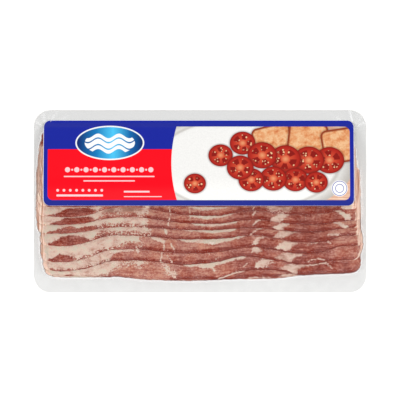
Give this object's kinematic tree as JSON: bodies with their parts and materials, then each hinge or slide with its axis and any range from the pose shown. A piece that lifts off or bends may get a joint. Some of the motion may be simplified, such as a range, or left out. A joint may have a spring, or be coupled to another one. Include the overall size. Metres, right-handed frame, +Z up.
{
  "type": "bacon pack",
  "caption": "Flat vacuum pack of shingled bacon slices on a white board, under clear film, with a printed label over its upper half.",
  "frame": {"origin": "middle of the underside of the backing board, on the surface that the pack lies on", "axes": "+X along the slices, towards the right of the label, +Y across them towards the label, +Z up out of the pack's face"},
  "size_m": [0.272, 0.149, 0.0168],
  "materials": {
    "board": "smooth white coated board",
    "bacon": "moist raw cured meat, lean red-brown with cream fat",
    "label": "glossy coated paper, printed",
    "film": "clear glossy vacuum film"
  },
  "bodies": {
    "root": {"backing_board": "board", "sealed_bag": "bacon", "label": "label"}
  },
  "joints": []
}
